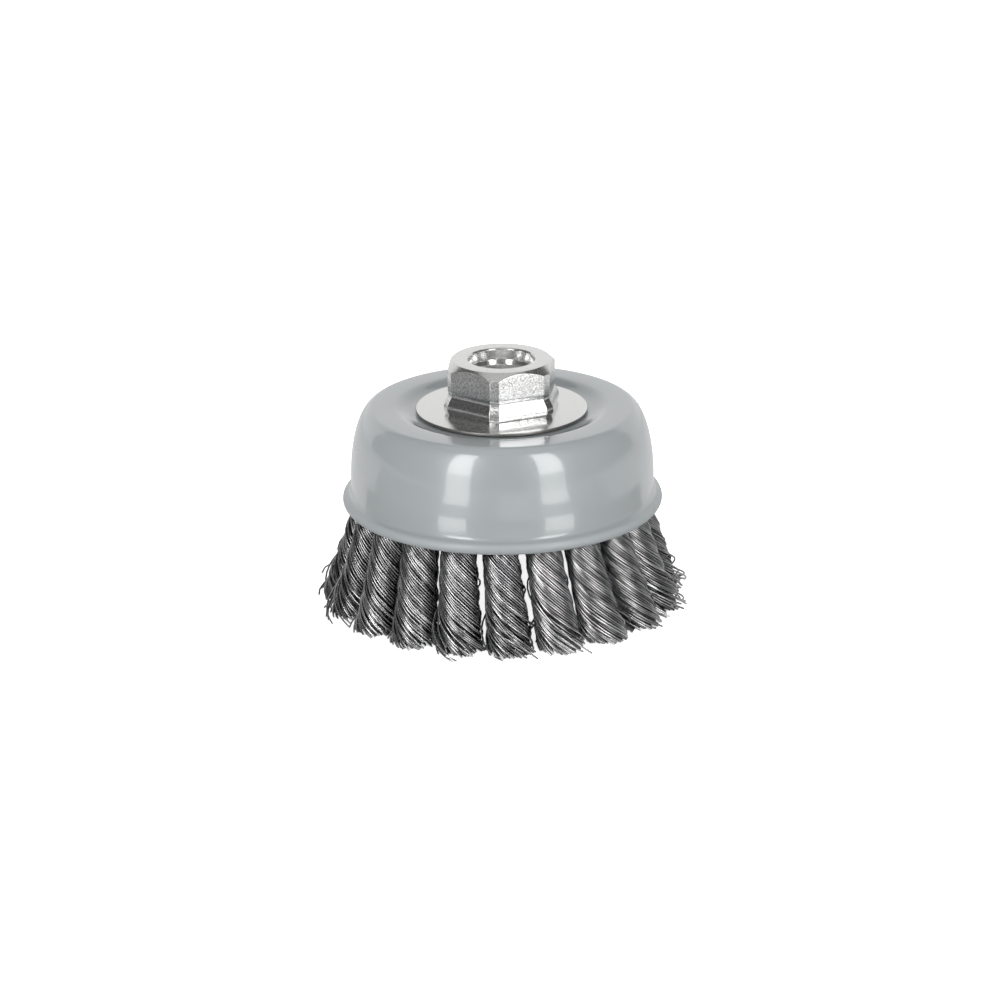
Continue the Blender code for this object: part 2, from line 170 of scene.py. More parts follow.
@dataclass(frozen=True)
class Effects:
    """Node groups that several finishes share."""

    grain: NodeTree
    turning: NodeTree

    @staticmethod
    def build() -> "Effects":
        """Make the shared groups once."""
        return Effects(grain=Effects._grain(), turning=Effects._turning())

    @staticmethod
    def _grain() -> NodeTree:
        """Make irregular grain from one noise in object space.

        Returns:
            The group, which gives a mask from 0 to 1.
        """
        tree, given = open_group("surface_grain", "Mask", Scale=1000.0, Contrast=0.2, Roughness=0.6)
        place = add_node(tree, "TexCoord").outputs["Object"]
        noise = add_node(tree, "TexNoise", {"Vector": place, "Scale": given["Scale"],
                                            "Roughness": given["Roughness"], "Detail": 3.0})
        ends = {0: 0.5, 1: given["Contrast"]}
        low = add_node(tree, "Math", ends, operation="SUBTRACT").outputs["Value"]
        high = add_node(tree, "Math", ends, operation="ADD").outputs["Value"]
        spread = add_node(tree, "MapRange", {"Value": noise.outputs["Fac"], "From Min": low, "From Max": high})
        feed(tree, tree.nodes.new("NodeGroupOutput"), {"Mask": spread.outputs["Result"]})
        return tree

    @staticmethod
    def _turning() -> NodeTree:
        """Make the fine rings that a lathe leaves round the spindle axis.

        Returns:
            The group, which gives a height from 0 to 1.
        """
        tree, given = open_group("turning_rings", "Height", Pitch=0.0001)
        place = add_node(tree, "TexCoord").outputs["Object"]
        split = add_node(tree, "SeparateXYZ", {"Vector": place}).outputs
        flat = add_node(tree, "CombineXYZ", {"X": split["X"], "Y": split["Y"]}).outputs["Vector"]
        reach = add_node(tree, "VectorMath", {0: flat}, operation="LENGTH").outputs["Value"]
        both = add_node(tree, "Math", {0: reach, 1: split["Z"]}, operation="ADD").outputs["Value"]
        turns = add_node(tree, "Math", {0: both, 1: given["Pitch"]}, operation="DIVIDE")
        line = add_node(tree, "TexNoise", {"W": turns.outputs["Value"], "Scale": 1.0, "Detail": 2.0},
                        noise_dimensions="1D")
        feed(tree, tree.nodes.new("NodeGroupOutput"), {"Height": line.outputs["Fac"]})
        return tree


@dataclass
class Shading:
    """One material under construction, with its shader and short ways to add nodes."""

    name: str
    material: Material = field(init=False)

    def __post_init__(self) -> None:
        """Start the material with a Principled shader and its output."""
        self.material = bpy.data.materials.new(self.name)
        self.material.use_nodes = True
        self.tree = self.material.node_tree
        self.shader = self.tree.nodes["Principled BSDF"]

    def add(self, kind: str, inputs: Inputs | None = None, **settings: object) -> Node:
        """Add a node to the material, as add_node does."""
        return add_node(self.tree, kind, inputs, **settings)

    def set(self, **inputs: object) -> None:
        """Give the shader its inputs, named with underscores for spaces."""
        feed(self.tree, self.shader, {key.replace("_", " "): value for key, value in inputs.items()})

    def group(self, tree: NodeTree, **inputs: float) -> NodeSocket:
        """Place a shared node group with some of its inputs, and give its output."""
        return self.add("Group", inputs, node_tree=tree).outputs[0]

    def ramp(self, mask: NodeSocket, low: float, high: float) -> NodeSocket:
        """Number that runs from low, where a mask is 0, to high, where it is 1."""
        inputs = {"Value": mask, "To Min": low, "To Max": high}
        return self.add("MapRange", inputs).outputs["Result"]

    def blend(self, mask: NodeSocket, low: Colour, high: Colour) -> NodeSocket:
        """Colour that runs from low, where a mask is 0, to high, where it is 1."""
        inputs = {"A": (*low, 1.0), "B": (*high, 1.0), "Factor": mask}
        return self.add("Mix", inputs, data_type="RGBA").outputs["Result"]

    def bump(self, height: NodeSocket, depth: float) -> None:
        """Raise the surface by a height map, on top of the bumps before it.

        Args:
            height: Output with the height, from 0 to 1.
            depth: Height of a full step, in metres.
        """
        inputs = {"Distance": depth, "Height": height}
        for link in self.shader.inputs["Normal"].links:
            inputs["Normal"] = link.from_socket
        self.set(Normal=self.add("Bump", inputs).outputs["Normal"])


# Finishes


@dataclass(frozen=True)
class PaintFinish:
    """Glossy light grey paint over pressed steel, duller on the rolled rim."""

    colour: Colour = (0.338, 0.364, 0.371)
    shade: Colour = (0.324, 0.350, 0.358)
    peel_depth: float = 0.004 * MM
    dull_zone: Span = (28.7 * MM, 29.8 * MM)
    roughness: Span = (0.3, 0.5)
    coat: Span = (1.0, 0.15)

    def build(self, effects: Effects) -> Material:
        """Make the material.

        Args:
            effects: The shared node groups.

        Returns:
            The material.
        """
        paint = Shading("grey_paint")
        place = paint.add("TexCoord").outputs["Object"]
        height = paint.add("SeparateXYZ", {"Vector": place}).outputs["Z"]
        zone = {"Value": height, "From Min": self.dull_zone[0], "From Max": self.dull_zone[1],
                "To Min": 1.0, "To Max": 0.0}
        rim = paint.add("MapRange", zone, interpolation_type="SMOOTHSTEP").outputs["Result"]
        cloud = paint.group(effects.grain, Scale=45.0, Contrast=0.3)
        peel = paint.group(effects.grain, Scale=900.0, Contrast=0.5, Roughness=0.4)
        paint.set(IOR=1.5, Base_Color=paint.blend(cloud, self.shade, self.colour),
                  Roughness=paint.ramp(rim, *self.roughness), Coat_Weight=paint.ramp(rim, *self.coat),
                  Coat_Roughness=0.08)
        paint.bump(peel, self.peel_depth)
        return paint.material


@dataclass(frozen=True)
class SteelFinish:
    """Steel with a grain that changes its tone and gloss, and with lathe rings, dents or pits."""

    name: str
    colour: Colour = (0.82, 0.82, 0.81)
    shade: Colour = (0.72, 0.72, 0.71)
    smooth: float = 0.18
    rough: float = 0.3
    grain_scale: float = 2600.0
    grain_contrast: float = 0.2
    grain_roughness: float = 0.6
    ring_pitch: float = 0.12 * MM
    ring_depth: float = 0.003 * MM
    dent_depth: float = 0.0
    pit_depth: float = 0.0

    def build(self, effects: Effects) -> Material:
        """Make the material.

        Args:
            effects: The shared node groups.

        Returns:
            The material.
        """
        steel = Shading(self.name)
        grain = steel.group(effects.grain, Scale=self.grain_scale, Contrast=self.grain_contrast,
                            Roughness=self.grain_roughness)
        steel.set(Metallic=1.0, Base_Color=steel.blend(grain, self.shade, self.colour),
                  Roughness=steel.ramp(grain, self.rough, self.smooth))
        if self.ring_depth:
            steel.bump(steel.group(effects.turning, Pitch=self.ring_pitch), self.ring_depth)
        if self.dent_depth:
            dents = steel.group(effects.grain, Scale=520.0, Contrast=0.3, Roughness=0.5)
            steel.bump(dents, self.dent_depth)
        if self.pit_depth:
            steel.bump(grain, self.pit_depth)
        return steel.material


@dataclass(frozen=True)
class ForgedAndGlintFinish(SteelFinish):
    """Bright plating over a forged, dented and pitted surface. Its strong speckle, dark in the pits and bright
    on the tops, is partly its grain and partly painted glints and shade.
    """

    name: str = "forged_steel_and_glints"
    # Bright colour and dark shade set the speckle, which stands in partly for glints and for shade in the
    # pits.
    colour: Colour = (1.0, 1.0, 0.99)
    shade: Colour = (0.36, 0.36, 0.36)
    smooth: float = 0.1
    rough: float = 0.24
    grain_scale: float = 2300.0
    grain_contrast: float = 0.14
    grain_roughness: float = 0.85
    ring_depth: float = 0.0
    dent_depth: float = 0.01 * MM
    pit_depth: float = 0.008 * MM


@dataclass(frozen=True)
class PressedFinish(SteelFinish):
    """Plain pressed steel of the plate inside the cup."""

    name: str = "plate_steel"
    colour: Colour = (0.5, 0.5, 0.51)
    shade: Colour = (0.3, 0.3, 0.31)
    smooth: float = 0.35
    rough: float = 0.55
    grain_scale: float = 800.0
    grain_contrast: float = 0.25
    ring_depth: float = 0.0
    pit_depth: float = 0.02 * MM


@dataclass(frozen=True)
class WireFinish:
    """Dark drawn steel wire whose tone changes from wire to wire, with stains. The darkest tones, on the inner
    wires and the core, are painted shade.
    """

    dark: Colour = (0.02, 0.02, 0.021)
    bright: Colour = (0.77, 0.775, 0.78)
    smooth: float = 0.13
    rough: float = 0.24
    stain_share: float = 0.35

    def build(self, effects: Effects) -> Material:
        """Make the material.

        Args:
            effects: The shared node groups.

        Returns:
            The material.
        """
        steel = Shading("wire_steel")
        # The stored tone is painted shade on the inner wires and the core, and random on the outer wires.
        wire = steel.add("Attribute", attribute_type="GEOMETRY", attribute_name=WIRE_TONE_AND_SHADE)
        stain = steel.group(effects.grain, Scale=420.0, Contrast=0.25)
        part = steel.add("Math", {0: wire.outputs["Fac"], 1: 1 - self.stain_share},
                         operation="MULTIPLY").outputs["Value"]
        tone = steel.add("Math", {0: stain, 1: self.stain_share, 2: part},
                         operation="MULTIPLY_ADD").outputs["Value"]
        steel.set(Metallic=1.0, Base_Color=steel.blend(tone, self.dark, self.bright),
                  Roughness=steel.ramp(stain, self.rough, self.smooth))
        return steel.material


@dataclass(frozen=True)
class FloorFinish:
    """Pale plain floor that shows white to the camera, with the object's shadow."""

    colour: Colour = (0.9, 0.9, 0.9)
    lift: float = 0.86

    def build(self) -> Material:
        """Make the material.

        Returns:
            The material.
        """
        floor = Shading("studio_floor")
        lift = floor.add("Math", {0: camera_sees(floor.tree), 1: self.lift}, operation="MULTIPLY")
        floor.set(Base_Color=(*self.colour, 1.0), Roughness=0.9, Specular_IOR_Level=0.0,
                  Emission_Color=WHITE, Emission_Strength=lift.outputs["Value"])
        return floor.material


# Mesh helpers


def arc(centre: Span, radii: Span, start: float, end: float, steps: int) -> Outline:
    """Points of an elliptic arc in the radius and height plane.

    Args:
        centre: Radius and height of the arc's centre.
        radii: Half widths outwards and upwards.
        start: First angle.
        end: Last angle.
        steps: Number of stretches between the points.

    Returns:
        The points, both ends included.
    """
    angles = [start + (end - start) * step / steps for step in range(steps + 1)]
    return [(centre[0] + radii[0] * cos(a), centre[1] + radii[1] * sin(a)) for a in angles]


def smooth_step(share: float) -> float:
    """Ease a share from 0 to 1 with level ends."""
    share = min(max(share, 0.0), 1.0)
    return share * share * (3 - 2 * share)


def offset_line(points: Outline, distance: float) -> Outline:
    """Shift a line to its right.

    Args:
        points: The line.
        distance: How far it moves.

    Returns:
        The shifted line, with mitred corners.
    """
    path = [Vector(point) for point in points]
    normals = []
    for here, there in zip(path, path[1:]):
        along = (there - here).normalized()
        normals.append(Vector((along.y, -along.x)))
    shifted = []
    for point, before, after in zip(path, normals[:1] + normals, normals + normals[-1:]):
        middle = (before + after).normalized()
        shifted.append(tuple(point + middle * (distance / middle.dot(after))))
    return shifted


def show(name: str, data: ID) -> Object:
    """Add an object to the scene.

    Args:
        name: Name of the object.
        data: Its mesh, curve, light or camera.

    Returns:
        The object, at the origin.
    """
    obj = bpy.data.objects.new(name, data)
    bpy.context.scene.collection.objects.link(obj)
    return obj


def finish_mesh(bm: BMesh, name: str, smooth_angle: float = radians(35)) -> Object:
    """Turn a bmesh into a shaded object.

    Args:
        bm: The finished bmesh, which is freed.
        name: Name of the object.
        smooth_angle: Edges sharper than this stay sharp.

    Returns:
        The new object.
    """
    bmesh.ops.recalc_face_normals(bm, faces=bm.faces)
    mesh = bpy.data.meshes.new(name)
    bm.to_mesh(mesh)
    bm.free()
    mesh.shade_smooth()
    mesh.set_sharp_from_angle(angle=smooth_angle)
    return show(name, mesh)


def fill_ends(bm: BMesh) -> list[BMFace]:
    """Close every open end of a bmesh with a face."""
    rims = [edge for edge in bm.edges if edge.is_boundary]
    return bmesh.ops.holes_fill(bm, edges=rims, sides=0)["faces"]


def sweep(outline: Outline, turn: float, steps: int, start: float = 0.0, rise: float = 0.0,
          closed: bool = True) -> BMesh:
    """Sweep a line about the spindle axis.

    Args:
        outline: Points of radius and height, in order.
        turn: Angle of the sweep.
        steps: Number of steps in it.
        start: Angle where it starts, from +X.
        rise: Height gained at each step.
        closed: Whether the line's last point joins its first.

    Returns:
        The swept bmesh.
    """
    bm = bmesh.new()
    place = Matrix.Rotation(start, 3, "Z")
    verts = [bm.verts.new(place @ Vector((radius, 0.0, height))) for radius, height in outline]
    edges = [bm.edges.new((verts[i - 1], verts[i])) for i in range(0 if closed else 1, len(verts))]
    meets = turn == tau and rise == 0.0
    bmesh.ops.spin(bm, geom=verts + edges, cent=(0, 0, 0), axis=(0, 0, 1), dvec=(0, 0, rise), angle=turn,
                   steps=steps, use_merge=meets, use_duplicate=False)
    return bm


def turned(name: str, outline: Outline, facets: int) -> Object:
    """Turn a closed outline into an object.

    Args:
        name: Name of the object.
        outline: Points of radius and height, in order.
        facets: Steps in a full turn.

    Returns:
        The turned object.
    """
    bm = sweep(outline, tau, facets)
    bmesh.ops.remove_doubles(bm, verts=bm.verts, dist=WELD_DISTANCE)
    return finish_mesh(bm, name)


def bake_modifiers(obj: Object) -> None:
    """Replace an object's mesh by the one that its modifiers make.

    Args:
        obj: The object.
    """
    shown = obj.evaluated_get(bpy.context.evaluated_depsgraph_get())
    mesh = bpy.data.meshes.new_from_object(shown)
    obj.modifiers.clear()
    obj.data = mesh


def apply_tools(obj: Object, tools: list[tuple[Object, Cut]], edge_width: float = 0.0) -> None:
    """Combine an object with tools by exact Booleans, ease its edges and keep the result.

    Args:
        obj: The object to change.
        tools: Each tool with the way it is used. The tools are removed.
        edge_width: Width of the small bevel on sharp edges, or 0 for none.
    """
    for tool, cut in tools:
        modifier = obj.modifiers.new(tool.name, "BOOLEAN")
        modifier.operation = cut.value
        modifier.solver = "EXACT"
        modifier.object = tool
    if edge_width:
        bevel = obj.modifiers.new("eased_edges", "BEVEL")
        bevel.width = edge_width
        bevel.segments = 2
        bevel.limit_method = "ANGLE"
        bevel.angle_limit = SHARP_ANGLE
        bevel.use_clamp_overlap = True
    bake_modifiers(obj)
    for tool, _ in tools:
        bpy.data.objects.remove(tool, do_unlink=True)


def dress(obj: Object, slot: Slot, materials: list[Material], *nodes: str) -> Object:
    """Coat a piece, and let it ride on the brush in place of its CAD nodes.

    Args:
        obj: The finished piece.
        slot: The record's slot for its finish. Not used.
        materials: Its materials, in the order of its faces' numbers.
        nodes: CAD nodes that it stands for.

    Returns:
        The same piece.
    """
    for material in materials:
        obj.data.materials.append(material)
    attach(obj, BODY)
    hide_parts(*nodes)
    return obj


# Sub-assemblies


@dataclass
class CupShell:
    """Pressed cup: recessed washer seat, flat crown, round shoulder, straight wall and rolled rim."""

    node: str = "cup_shell"
    sheet: float = 1.2 * MM
    rim_width: float = 2.25 * MM
    bead_radius: float = 1.6 * MM
    bead_fillet: float = 1.2 * MM
    wall_height: float = 3.35 * MM
    shoulder_width: float = 6.2 * MM
    seat_depth: float = 1.5 * MM
    seat_radius: float = 23.745 * MM
    seat_blend: float = 5.124 * MM
    hole_radius: float = 10.3 * MM
    facets: int = 144
    blend_steps: int = 8
    shoulder_steps: int = 28
    fillet_steps: int = 6
    bead_steps: int = 16

    def outline(self) -> Outline:
        """Draw the sheet from hub to lip, and back along the inside.

        Returns:
            The closed outline.
        """
        rim_radius, rim_z, crown_z = box_size(self.node)
        wall = rim_radius - self.rim_width
        mouth = rim_radius - self.bead_radius
        seat_z = crown_z - self.seat_depth
        outer = [(self.hole_radius, seat_z)]
        for step in range(self.blend_steps + 1):
            share = step / self.blend_steps
            rise = self.seat_depth * smooth_step(share)
            outer.append((self.seat_radius + self.seat_blend * share, seat_z + rise))
        bead_z = rim_z + self.bead_radius
        reach = wall + self.bead_fillet - mouth
        rise = sqrt((self.bead_radius + self.bead_fillet) ** 2 - reach ** 2)
        meeting = atan2(rise, reach)
        shoulder_z = bead_z + rise + self.wall_height
        outer += arc((wall - self.shoulder_width, shoulder_z), (self.shoulder_width, crown_z - shoulder_z),
                     pi / 2, 0.0, self.shoulder_steps)
        outer += arc((wall + self.bead_fillet, bead_z + rise), (self.bead_fillet, self.bead_fillet),
                     pi, pi + meeting, self.fillet_steps)
        outer += arc((mouth, bead_z), (self.bead_radius, self.bead_radius),
                     meeting, -pi / 2, self.bead_steps)[1:]
        return outer + offset_line(outer, self.sheet)[::-1]

    def build(self, paint: Material) -> Object:
        """Turn the cup and paint it."""
        return dress(turned("painted_cup", self.outline(), self.facets), Slot.PAINT, [paint], self.node)


@dataclass
class FlangeWasher:
    """Thin bright washer with rounded edges."""

    node: str = "flange_washer"
    hole_radius: float = 10.3 * MM
    edge_round: float = 0.22 * MM
    edge_steps: int = 4
    side_slope: float = 0.6
    facets: int = 144

    def build(self, face: Material, edge: Material) -> Object:
        """Turn the washer.

        Args:
            face: Finish of its flat faces.
            edge: Finish of its punched edge: rough bare steel whose dark colour is a painted dark reflection.

        Returns:
            The washer.
        """
        radius, low, high = box_size(self.node)
        soft = (self.edge_round, self.edge_round)
        outline = [(self.hole_radius, low), (self.hole_radius, high)]
        outline += arc((radius - soft[0], high - soft[1]), soft, pi / 2, 0.0, self.edge_steps)
        outline += arc((radius - soft[0], low + soft[1]), soft, 0.0, -pi / 2, self.edge_steps)
        washer = turned("plated_washer", outline, self.facets)
        # The side faces take the edge finish, whose dark colour is a painted reflection of dark surroundings.
        for polygon in washer.data.polygons:
            polygon.material_index = int(abs(polygon.normal.z) < self.side_slope)
        return dress(washer, Slot.PLATED, [face, edge], self.node)


@dataclass
class ArborNut:
    """Forged hexagon nut with counterbore and thread, and the spigot rolled over inside the cup.

    The waist gives heights as shares of the hexagon's height, and widths as shares of its width.
    """

    node: str = "arbor_nut"
    across_flats: float = 27.0 * MM
    corner_radius: float = 14.888 * MM
    face_radius: float = 13.0 * MM
    chamfer_angle: float = radians(44.0)
    corner_angle: float = radians(-97.2)
    height: float = 13.1 * MM
    waist: tuple[Span, ...] = (
        (0.0, 1.045), (0.046, 1.068), (0.168, 1.068), (0.252, 1.035), (0.351, 0.99), (0.473, 1.0))
    waist_step: float = 0.25
    edge_width: float = 0.18 * MM
    counterbore_radius: float = 8.8 * MM
    counterbore_depth: float = 3.2 * MM
    bore_radius: float = 6.8 * MM
    bore_chamfer: float = 0.35 * MM
    ledge_drop: float = 1.0 * MM
    thread_depth: float = 1.15 * MM
    thread_pitch: float = 2.3 * MM
    thread_foot: float = 0.15 * MM
    thread_gap: float = 0.3 * MM
    root_share: float = 0.47
    crest_share: float = 0.07
    thread_facets: int = 48
    spigot_radius: float = 10.0 * MM
    collar_radius: float = 12.7 * MM
    collar_thickness: float = 2.0 * MM
    collar_steps: int = 10
    facets: int = 96
    margin: float = 1.0 * MM
    slack: float = 0.1 * MM
    face_slope: float = 0.5
    seat_reach: float = 0.27 * MM

    def __post_init__(self) -> None:
        """Read the nut's heights from the frame."""
        _, self.end_z, self.top_z = box_size(self.node)
        self.foot_z = self.top_z - self.height
        self.collar_z = self.end_z + self.collar_thickness
        self.thread_root = self.bore_radius + self.thread_depth

    def sections(self) -> Outline:
        """Follow a smooth curve through the waist.

        Returns:
            Heights above the foot, with the width at each as a share of the bar's width.
        """
        heights, widths = np.array(((-self.seat_reach / self.height, self.waist[0][1]), *self.waist)).T
        slopes = np.gradient(widths, heights)
        slopes[-1] = 0.0
        found = []
        for index, step in enumerate(np.diff(heights)):
            for share in np.arange(0.0, 1.0, self.waist_step):
                ease = smooth_step(share)
                tilt = slopes[index] * (1 - share) - slopes[index + 1] * share
                bend = step * share * (1 - share) * tilt
                width = widths[index] + (widths[index + 1] - widths[index]) * ease + bend
                found.append((self.height * (heights[index] + step * share), width))
        return found + [(self.height * heights[-1], widths[-1]), (self.height + self.margin, widths[-1])]

    def hexagon(self) -> Object:
        """Extrude a hexagon bar with narrow corner facets up its forged waist.

        Returns:
            The bar.
        """
        corner = self.across_flats / sqrt(3)
        bm = bmesh.new()
        turn = Matrix.Rotation(self.corner_angle - pi / 2, 4, "Z")
        bmesh.ops.create_circle(bm, cap_ends=False, radius=corner, segments=6, matrix=turn)
        bmesh.ops.bevel(bm, geom=list(bm.verts), offset=(corner - self.corner_radius) * 2,
                        offset_type="OFFSET", affect="VERTICES", segments=1, profile=0.5, material=-1)
        ring, edges = list(bm.verts), list(bm.edges)
        sections = self.sections()
        last_height, last_width = sections[0]
        start = Matrix.Translation((0, 0, self.foot_z + last_height))
        bmesh.ops.transform(bm, matrix=start @ Matrix.Diagonal((last_width, last_width, 1, 1)), verts=ring)
        for height, width in sections[1:]:
            grown = bmesh.ops.extrude_edge_only(bm, edges=edges)["geom"]
            edges = [item for item in grown if isinstance(item, BMEdge)]
            ring = [item for item in grown if isinstance(item, BMVert)]
            bmesh.ops.scale(bm, vec=(width / last_width, width / last_width, 1), verts=ring)
            bmesh.ops.translate(bm, vec=(0, 0, height - last_height), verts=ring)
            last_height, last_width = height, width
        fill_ends(bm)
        return finish_mesh(bm, "plated_nut")

    def tools(self) -> list[tuple[Object, Cut]]:
        """Turn the tools for the chamfer, the spigot and the bore.

        Returns:
            Each tool with the way it is used.
        """
        wide = self.across_flats
        above, below = self.top_z + self.margin, self.end_z - self.margin
        drop = (wide - self.face_radius) * tan(self.chamfer_angle)
        chamfer = [(0.0, self.top_z), (self.face_radius, self.top_z), (wide, self.top_z - drop),
                   (wide, self.foot_z - self.margin), (0.0, self.foot_z - self.margin)]
        core = self.bore_radius - self.margin
        half = self.collar_thickness / 2
        edge = arc((self.collar_radius - half, self.collar_z - half), (half, half),
                   pi / 2, -pi / 2, self.collar_steps)
        spigot = [(core, self.foot_z + self.margin), (self.spigot_radius, self.foot_z + self.margin),
                  (self.spigot_radius, self.collar_z), *edge, (core, self.end_z)]
        step_z = self.top_z - self.counterbore_depth
        mouth = self.counterbore_radius + self.bore_chamfer + self.margin
        bore = [(0.0, above), (mouth, above), (self.counterbore_radius, self.top_z - self.bore_chamfer),
                (self.counterbore_radius, step_z), (self.thread_root, step_z - self.ledge_drop),
                (self.thread_root, below), (0.0, below)]
        shapes = (("chamfer_tool", chamfer, Cut.KEEP_INSIDE), ("spigot_tool", spigot, Cut.JOIN),
                  ("bore_tool", bore, Cut.REMOVE))
        return [(turned(name, outline, self.facets), cut) for name, outline, cut in shapes]

    def thread(self) -> Object:
        """Sweep the helical ridge on the wall of the bore.

        Returns:
            The ridge.
        """
        base = self.thread_root + self.thread_foot
        root, crest = self.thread_pitch * self.root_share, self.thread_pitch * self.crest_share
        low = self.end_z + root + self.thread_gap
        high = self.top_z - self.counterbore_depth - self.ledge_drop - root
        turns = int((high - low) / self.thread_pitch)
        profile = [(base, low - root), (self.bore_radius, low - crest), (self.bore_radius, low + crest),
                   (base, low + root)]
        bm = sweep(profile, tau * turns, self.thread_facets * turns,
                   rise=self.thread_pitch / self.thread_facets)
        fill_ends(bm)
        return finish_mesh(bm, "nut_thread")

    def even_flats(self, nut: Object) -> None:
        """Let the flats shade flat right up to their eased edges.

        Args:
            nut: The cut nut.
        """
        nut.data.shade_smooth()
        nut.data.set_sharp_from_angle(angle=SHARP_ANGLE)
        edge = self.face_radius + self.slack
        outer = [v.index for v in nut.data.vertices if hypot(v.co.x, v.co.y) > edge]
        flats = nut.vertex_groups.new(name="flats")
        flats.add(outer, 1.0, "REPLACE")
        evened = nut.modifiers.new("even_normals", "WEIGHTED_NORMAL")
        evened.keep_sharp = True
        evened.vertex_group = flats.name
        bake_modifiers(nut)

    def build(self, forged: Material, face: Material, bore: Material) -> list[Object]:
        """Cut the nut and give its parts their own finishes.

        Args:
            forged: Finish of the flats, whose speckle is partly painted glints.
            face: Finish of the top face, chamfer and collar.
            bore: Finish of the counterbore and thread.

        Returns:
            The nut and its thread.
        """
        nut = self.hexagon()
        apply_tools(nut, self.tools(), self.edge_width)
        self.even_flats(nut)
        inside = self.counterbore_radius + self.slack
        for polygon in nut.data.polygons:
            reach = hypot(polygon.center.x, polygon.center.y)
            on_face = polygon.normal.z > self.face_slope or polygon.center.z < self.foot_z - self.seat_reach
            polygon.material_index = 2 if reach < inside else int(on_face)
        return [dress(nut, Slot.PLATED, [forged, face, bore], self.node),
                dress(self.thread(), Slot.PLATED, [bore], self.node)]


@dataclass
class KnotPlate:
    """Dished plate inside the cup, with one hole for each knot."""

    node: str = "knot_plate"
    thickness: float = 1.5 * MM
    hub_radius: float = 17.193 * MM
    cone_width: float = 4.492 * MM
    web: float = 1.8 * MM
    bore_radius: float = 10.3 * MM
    hole_radius: float = 3.254 * MM
    hole_facets: int = 24
    holes: int = 20
    first_angle: float = FIRST_KNOT_ANGLE
    facets: int = 120

    def build(self, steel: Material) -> Object:
        """Turn the plate and drill it.

        Args:
            steel: Its finish.

        Returns:
            The plate.
        """
        radius, low, high = box_size(self.node)
        flange_z = low + self.thickness
        top = [(self.bore_radius, high), (self.hub_radius, high),
               (self.hub_radius + self.cone_width, flange_z), (radius, flange_z)]
        plate = turned("pressed_plate", top + offset_line(top, self.thickness)[::-1], self.facets)
        bm = bmesh.new()
        circle = radius - self.web - self.hole_radius
        for index in range(self.holes):
            turn = Matrix.Rotation(self.first_angle + tau * index / self.holes, 4, "Z")
            place = turn @ Matrix.Translation((circle, 0, flange_z - self.thickness / 2))
            bmesh.ops.create_cone(bm, cap_ends=True, segments=self.hole_facets, radius1=self.hole_radius,
                                  radius2=self.hole_radius, depth=self.thickness * 3, matrix=place)
        apply_tools(plate, [(finish_mesh(bm, "hole_tool"), Cut.REMOVE)])
        return dress(plate, Slot.PLATE, [steel], self.node)


